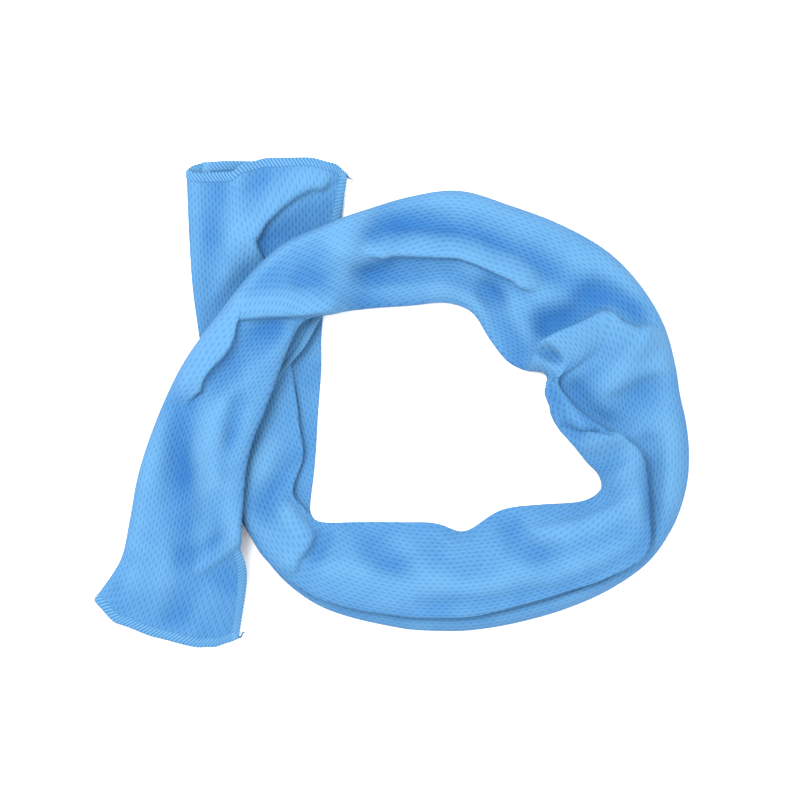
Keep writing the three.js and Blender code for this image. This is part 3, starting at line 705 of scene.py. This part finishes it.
def closeEnds(bm, sides):
    openEdges = [edge for edge in bm.edges if edge.is_boundary]
    bmesh.ops.holes_fill(bm, edges=openEdges, sides=sides)
    bmesh.ops.recalc_face_normals(bm, faces=bm.faces)


def addBand(name, solid, lines, material, turnedOver=False):
    # lines: rows of cloth points, each from the raw edge inwards
    middle = inwardAt(lines, overlock["width"] / 2)
    steps = np.linalg.norm(np.diff(middle, axis=0), axis=1)
    distances = np.concatenate([[0], np.cumsum(steps)])
    count = int(distances[-1] / overlock["stitch"] * overlock["samplesPerStitch"])
    wanted = np.linspace(0, distances[-1], count)
    edge, middle, inner = [
        smoothAlong(resample(line, distances, wanted), 0, overlock["smoothing"])
        for line in (lines[:, 0], middle, inwardAt(lines, overlock["width"]))
    ]
    inwards = normalized(inner - edge)
    forwards = normalized(np.gradient(middle, axis=0))
    upwards = normalized(np.cross(inwards, forwards))
    if turnedOver:
        upwards = -upwards
    profile = bandProfile + [(share, -height) for share, height in reversed(bandProfile[1:-1])]
    points = np.zeros((count, len(profile) + 1, 3))
    uvs = np.zeros((count, len(profile) + 1, 2))
    crests = np.zeros((count, len(profile) + 1))
    for j, (share, height) in enumerate(profile + profile[:1]):
        # along the cloth's own bend between the edge, the middle and the inner line
        bent = mix(edge, middle, share * 2) if share < 0.5 else mix(middle, inner, share * 2 - 1)
        phase = (wanted + share * overlock["slant"]) / overlock["stitch"]
        crest = 0.5 + 0.5 * np.cos(2 * np.pi * phase)
        needle = np.abs(np.sin(np.pi * wanted / overlock["needlePitch"])) ** overlock["needleRoundness"]
        nearNeedle = math.exp(-(((share - overlock["needleAt"]) / overlock["needleSpread"]) ** 2))
        crest = mix(crest, overlock["needleTone"] * needle, nearNeedle)
        ridge = mix(overlock["ridge"], overlock["needleHeight"], nearNeedle)
        bump = ridge * (crest - overlock["crestMiddle"])
        lifted = height * overlock["halfThickness"]
        lifted = lifted + math.copysign(1, height or 1) * bump * min(1, abs(height) * 2)
        # the threads reach a little past the raw edge
        outwards = (1 - share) ** overlock["overhangPower"]
        pushed = -outwards * (overlock["overhang"] + overlock["ridge"] * crest)
        points[:, j] = bent + upwards * lifted[:, None] + inwards * pushed[:, None]
        uvs[:, j, 0] = wanted
        uvs[:, j, 1] = share * overlock["width"]
        crests[:, j] = crest
    points[:, :, 2] = np.maximum(points[:, :, 2], overlock["lowest"])
    # the crests go to the thread's colour too: painted shade in the grooves between threads and at the
    # needle stitches
    bm = gridMesh(points, uvs * patternScale, crests, "crest")
    bmesh.ops.remove_doubles(bm, verts=bm.verts, dist=overlock["mergeWithin"])
    closeEnds(bm, overlock["mostSides"])
    print(name, "stitches:", int(distances[-1] / overlock["stitch"]))
    return addPiece(name, bm, material, solid)


# The end of the overlock chain, left a little long at a corner: a wavy thread with knots that gets
# thinner towards its tip. The turns are in radians, waveTurn over the whole length and knotTurn a ring.
tail = {
    "length": 0.006,
    "radius": 0.00045,
    "wave": 0.0016,
    "waveTurn": 7,
    "thickStart": 1.6,
    "knot": 0.25,
    "knotTurn": 2.6,
    "sides": 7,
    "rings": 12,
}


def addTail(name, solid, start, heading, material):
    bm = bmesh.new()
    turned = Vector(heading).normalized()
    across = turned.cross(Vector((0, 0, 1)))
    spun = turned.to_track_quat("Z", "Y").to_matrix()
    previous = None
    for k in range(tail["rings"]):
        share = k / (tail["rings"] - 1)
        middle = Vector(start) + turned * tail["length"] * share
        middle += across * tail["wave"] * math.sin(share * tail["waveTurn"]) * share
        middle.z = max(tail["radius"], middle.z * (1 - share) ** 2)
        knot = 1 + tail["knot"] * math.cos(k * tail["knotTurn"])
        radius = tail["radius"] * (tail["thickStart"] - share) * knot
        ring = bmesh.ops.create_circle(bm, segments=tail["sides"], radius=radius)["verts"]
        bmesh.ops.rotate(bm, verts=ring, matrix=spun)
        bmesh.ops.translate(bm, verts=ring, vec=middle)
        edges = list({edge for vert in ring for edge in vert.link_edges})
        if previous:
            bmesh.ops.bridge_loops(bm, edges=previous + edges)
        previous = edges
    closeEnds(bm, tail["sides"])
    for face in bm.faces:
        face.smooth = True
    return addPiece(name, bm, material, solid)


# Soft cloudy tone and the fine fuzz of yarn, shared by the knit and the thread.
yarn = {
    "cloudDetail": 3,
    "fuzzScale": 1600,
    "fuzzDetail": 2,
}

# The knitted mesh: staggered eyelets in columns along the strip. Sizes are in metres, an eyelet's width
# and length from its middle. eyeletEdge: from where to where its shade fades, in those sizes. The tones
# and heights are each pattern's share in the colour and the relief.
weave = {
    "columnSpacing": 0.0021,
    "eyeletSpacing": 0.0044,
    "eyeletWidth": 0.00042,
    "eyeletLength": 0.0010,
    "eyeletEdge": (0.1, 1.9),
    "light": (0.062, 0.174, 0.312, 1),
    "deep": (0.010, 0.080, 0.230, 1),
    "eyeletTone": 0.3,
    "cloudTone": 0.5,
    "ribTone": 0.25,
    "fuzzTone": 0.42,
    # painted shade in hollows and painted highlight on ridges, from the valley attribute
    "paintedShadeTone": -0.6,
    "darker": 0.2,
    "cloudSize": 55,
    "relief": 0.0002,
    "ribHeight": 0.7,
    "fuzzHeight": 0.35,
    "roughness": 0.75,
    "shine": 0.15,
    "sheen": 0.03,
    "sheenRoughness": 0.5,
    "sheenTint": (0.8, 0.93, 1, 1),
}
thread = {
    "light": (0.075, 0.20, 0.335, 1),
    # groove: painted shade between the threads and at the needle stitches
    "groove": (0.012, 0.09, 0.245, 1),
    "toneRange": (0.15, 1.0),
    "fuzzTone": 0.3,
    "cloudSize": 90,
    "plyPitch": 0.00045,
    "plyHeight": 0.4,
    "relief": 0.00012,
    "reliefStrength": 0.8,
    "roughness": 0.6,
    "shine": 0.2,
}


def node(tree, kind, **settings):
    made = tree.nodes.new(kind)
    for name, value in settings.items():
        setattr(made, name, value)
    return made


def calculate(tree, operation, a, b=None):
    made = node(tree, "ShaderNodeMath", operation=operation)
    for socket, value in zip(made.inputs, (a, b)):
        if value is None:
            continue
        if isinstance(value, (int, float)):
            socket.default_value = value
        else:
            tree.links.new(value, socket)
    return made.outputs[0]


def addShare(tree, total, value, weight):
    return calculate(tree, "ADD", total, calculate(tree, "MULTIPLY", value, weight))


def smoothRange(tree, value, low, high):
    made = node(tree, "ShaderNodeMapRange", interpolation_type="SMOOTHSTEP")
    tree.links.new(value, made.inputs["Value"])
    made.inputs["From Min"].default_value = low
    made.inputs["From Max"].default_value = high
    return made.outputs["Result"]


def blend(tree, factor, a, b):
    made = node(tree, "ShaderNodeMix", data_type="RGBA")
    for name, value in (("Factor", factor), ("A", a), ("B", b)):
        socket = next(item for item in made.inputs if item.name == name and item.enabled)
        if isinstance(value, (int, float, tuple)):
            socket.default_value = value
        else:
            tree.links.new(value, socket)
    return next(item for item in made.outputs if item.enabled)


def newMaterial(name):
    material = bpy.data.materials.new(name)
    material.use_nodes = True
    return material, material.node_tree, material.node_tree.nodes["Principled BSDF"]


def addBump(tree, shader, height, strength, distance):
    bump = node(tree, "ShaderNodeBump")
    bump.inputs["Strength"].default_value = strength
    bump.inputs["Distance"].default_value = distance
    tree.links.new(height, bump.inputs["Height"])
    tree.links.new(bump.outputs["Normal"], shader.inputs["Normal"])


def yarnGrainGroup():
    group = bpy.data.node_groups.new("yarn_grain", "ShaderNodeTree")
    group.interface.new_socket("Vector", in_out="INPUT", socket_type="NodeSocketVector")
    group.interface.new_socket("Cloud Size", in_out="INPUT", socket_type="NodeSocketFloat")
    group.interface.new_socket("Cloud", in_out="OUTPUT", socket_type="NodeSocketFloat")
    group.interface.new_socket("Fuzz", in_out="OUTPUT", socket_type="NodeSocketFloat")
    inside = node(group, "NodeGroupInput")
    outside = node(group, "NodeGroupOutput")
    cloud = node(group, "ShaderNodeTexNoise")
    cloud.inputs["Detail"].default_value = yarn["cloudDetail"]
    group.links.new(inside.outputs["Vector"], cloud.inputs["Vector"])
    group.links.new(inside.outputs["Cloud Size"], cloud.inputs["Scale"])
    fuzz = node(group, "ShaderNodeTexNoise")
    fuzz.inputs["Scale"].default_value = yarn["fuzzScale"]
    fuzz.inputs["Detail"].default_value = yarn["fuzzDetail"]
    group.links.new(inside.outputs["Vector"], fuzz.inputs["Vector"])
    group.links.new(cloud.outputs[0], outside.inputs["Cloud"])
    group.links.new(fuzz.outputs[0], outside.inputs["Fuzz"])
    return group


def addGrain(tree, group, cloudSize):
    place = node(tree, "ShaderNodeTexCoord")
    grain = node(tree, "ShaderNodeGroup", node_tree=group)
    tree.links.new(place.outputs["Object"], grain.inputs["Vector"])
    grain.inputs["Cloud Size"].default_value = cloudSize
    return grain


def patternAxes(tree):
    uv = node(tree, "ShaderNodeUVMap", uv_map="UVMap")
    parts = node(tree, "ShaderNodeSeparateXYZ")
    tree.links.new(uv.outputs["UV"], parts.inputs[0])
    return parts.outputs["X"], parts.outputs["Y"]


def knitMaterial(group):
    material, tree, shader = newMaterial("mesh_knit")
    along, across = patternAxes(tree)
    columns = calculate(tree, "MULTIPLY", across, 1 / patternScale / weave["columnSpacing"])
    rows = calculate(tree, "MULTIPLY", along, 1 / patternScale / weave["eyeletSpacing"])
    odd = calculate(tree, "PINGPONG", calculate(tree, "FLOOR", columns), 1.0)
    shifted = calculate(tree, "ADD", rows, calculate(tree, "MULTIPLY", odd, 0.5))
    fromColumn = calculate(tree, "SUBTRACT", calculate(tree, "FRACT", columns), 0.5)
    fromRow = calculate(tree, "SUBTRACT", calculate(tree, "FRACT", shifted), 0.5)
    wide = calculate(tree, "MULTIPLY", fromColumn, weave["columnSpacing"] / weave["eyeletWidth"])
    long = calculate(tree, "MULTIPLY", fromRow, weave["eyeletSpacing"] / weave["eyeletLength"])
    squares = addShare(tree, calculate(tree, "MULTIPLY", wide, wide), long, long)
    outside = smoothRange(tree, calculate(tree, "SQRT", squares), *weave["eyeletEdge"])
    grain = addGrain(tree, group, weave["cloudSize"])
    # the valley attribute: painted shade in hollows, painted highlight on ridges
    valley = node(tree, "ShaderNodeAttribute", attribute_name="valley")
    # eyelets show the darker layer below; hollows get painted shade and ridges a painted highlight
    rib = calculate(tree, "ABSOLUTE", fromColumn)
    tone = calculate(tree, "MULTIPLY", outside, weave["eyeletTone"])
    tone = addShare(tree, tone, grain.outputs["Cloud"], weave["cloudTone"])
    tone = addShare(tree, tone, rib, weave["ribTone"])
    tone = addShare(tree, tone, grain.outputs["Fuzz"], weave["fuzzTone"])
    tone = addShare(tree, tone, valley.outputs["Fac"], weave["paintedShadeTone"])
    held = node(tree, "ShaderNodeClamp")
    tree.links.new(calculate(tree, "SUBTRACT", tone, weave["darker"]), held.inputs["Value"])
    colour = blend(tree, held.outputs[0], weave["deep"], weave["light"])
    tree.links.new(colour, shader.inputs["Base Color"])
    height = addShare(tree, outside, rib, weave["ribHeight"])
    height = addShare(tree, height, grain.outputs["Fuzz"], weave["fuzzHeight"])
    addBump(tree, shader, height, 1.0, weave["relief"])
    shader.inputs["Roughness"].default_value = weave["roughness"]
    shader.inputs["Specular IOR Level"].default_value = weave["shine"]
    shader.inputs["Sheen Weight"].default_value = weave["sheen"]
    shader.inputs["Sheen Roughness"].default_value = weave["sheenRoughness"]
    shader.inputs["Sheen Tint"].default_value = weave["sheenTint"]
    print("knit material ready")
    return material


def threadMaterial(group):
    material, tree, shader = newMaterial("overlock_thread")
    along = patternAxes(tree)[0]
    crest = node(tree, "ShaderNodeAttribute", attribute_name="crest")
    grain = addGrain(tree, group, thread["cloudSize"])
    # painted shade: the groove colour darkens the thread between its crests and along the needle
    # stitches
    tone = addShare(tree, crest.outputs["Fac"], grain.outputs["Fuzz"], thread["fuzzTone"])
    tone = smoothRange(tree, tone, *thread["toneRange"])
    tree.links.new(blend(tree, tone, thread["groove"], thread["light"]), shader.inputs["Base Color"])
    # the plies of the thread run across the band
    turns = calculate(tree, "MULTIPLY", along, 2 * math.pi / patternScale / thread["plyPitch"])
    plies = calculate(tree, "SINE", turns)
    height = addShare(tree, grain.outputs["Fuzz"], plies, thread["plyHeight"])
    addBump(tree, shader, height, thread["reliefStrength"], thread["relief"])
    shader.inputs["Roughness"].default_value = thread["roughness"]
    shader.inputs["Specular IOR Level"].default_value = thread["shine"]
    print("thread material ready")
    return material


# The floor, the light and the camera. The camera looks straight down, as the photograph does.
studio = {
    "floorSize": 6.0,
    "floorColour": (0.96, 0.965, 0.97, 1),
    "floorRoughness": 0.9,
    "cameraHeight": 2.5,
    "sensorWidth": 36,
    "viewWidth": 0.488,
    "cameraX": 0.0052,
    "cameraY": 0.0012,
    "worldLight": 1.65,
}

# Name, place, size and power of each light.
lightRows = [
    ("softbox_left", (-0.7, 0.5, 1.7), 0.9, 52),
    ("softbox_right", (1.3, -0.3, 0.9), 0.6, 9),
]


def addFloor():
    material, _, shader = newMaterial("pale_floor")
    shader.inputs["Base Color"].default_value = studio["floorColour"]
    shader.inputs["Roughness"].default_value = studio["floorRoughness"]
    bm = bmesh.new()
    bmesh.ops.create_grid(bm, x_segments=1, y_segments=1, size=studio["floorSize"] / 2)
    floor = addMesh("floor", bm, material)


def addLight(name, place, size, power):
    data = bpy.data.lights.new(name, "AREA")
    data.shape = "SQUARE"
    data.size = size
    data.energy = power
    made = bpy.data.objects.new(name, data)
    made.location = place
    made.rotation_euler = (-Vector(place)).to_track_quat("-Z", "Y").to_euler()
    bpy.context.scene.collection.objects.link(made)


def addCamera():
    data = bpy.data.cameras.new("camera")
    data.sensor_width = studio["sensorWidth"]
    data.lens = studio["sensorWidth"] * studio["cameraHeight"] / studio["viewWidth"]
    camera = bpy.data.objects.new("camera", data)
    camera.location = (studio["cameraX"], studio["cameraY"], studio["cameraHeight"])
    bpy.context.scene.collection.objects.link(camera)
    bpy.context.scene.camera = camera


def setWorld():
    world = bpy.data.worlds.new("studio")
    world.use_nodes = True
    background = world.node_tree.nodes["Background"]
    background.inputs["Color"].default_value = (1, 1, 1, 1)
    background.inputs["Strength"].default_value = studio["worldLight"]
    bpy.context.scene.world = world
    bpy.context.scene.view_settings.view_transform = "Standard"


addFloor()
setWorld()
for row in lightRows:
    addLight(*row)
addCamera()
print("stage ready")

grainGroup = yarnGrainGroup()
knit = knitMaterial(grainGroup)
overlockThread = threadMaterial(grainGroup)
fabric, points = addCloth(knit)
endwise = np.swapaxes(points, 0, 1)
# enough points in from an edge to hold a band's width
sidePoints = 40
endPoints = 30
bands = [
    addBand("overlock_left", "side_hem_left", points[:, :sidePoints], overlockThread),
    addBand("overlock_right", "side_hem_right", points[:, ::-1][:, :sidePoints], overlockThread, True),
    addBand("overlock_end_a", "end_hem_a", endwise[:, :endPoints], overlockThread),
    addBand("overlock_end_b", "end_hem_b", endwise[:, ::-1][:, :endPoints], overlockThread, True),
]
cornerA = points[0, -1]
cornerB = points[-1, -1]
bands.append(addTail("thread_tail_a", "end_hem_a", cornerA, (0.6, -0.9, 0), overlockThread))
bands.append(addTail("thread_tail_b", "end_hem_b", cornerB, (0.9, 0.5, 0), overlockThread))
